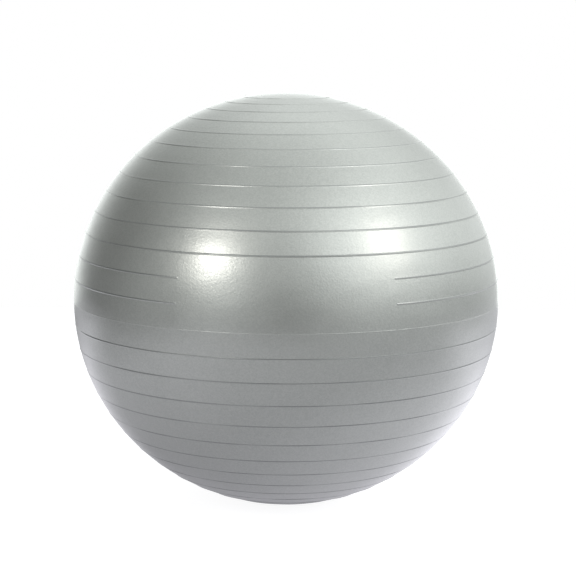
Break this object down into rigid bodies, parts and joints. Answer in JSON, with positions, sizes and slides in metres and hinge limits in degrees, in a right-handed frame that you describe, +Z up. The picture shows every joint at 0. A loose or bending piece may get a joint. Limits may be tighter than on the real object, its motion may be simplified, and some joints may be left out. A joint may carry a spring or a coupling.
{
  "type": "exercise ball",
  "caption": "Large inflated exercise ball with raised grip ribs round it, a plain panel in front and a pull-out valve plug at the back.",
  "frame": {"origin": "middle of the flat patch that the ball rests on, at floor level", "axes": "+Z up along the ball's upright axis, -Y towards the plain front panel, +Y towards the valve"},
  "size_m": [0.6506, 0.6506, 0.6286],
  "materials": {
    "skin": "soft pearlescent silver-grey PVC, satin with fine metallic flake",
    "valve_insert": "soft moulded PVC, plain grey satin",
    "plug": "moulded polyethylene, off-white matte"
  },
  "bodies": {
    "ball": {"ball_shell": "skin", "valve_seat": "valve_insert"},
    "plug": {"valve_plug": "plug"}
  },
  "joints": [
    {"name": "plug_pull", "type": "slide", "parent": "ball", "child": "plug", "axis": [0, 0.9845, 0.1755], "range_m": [0, 0.03]}
  ]
}
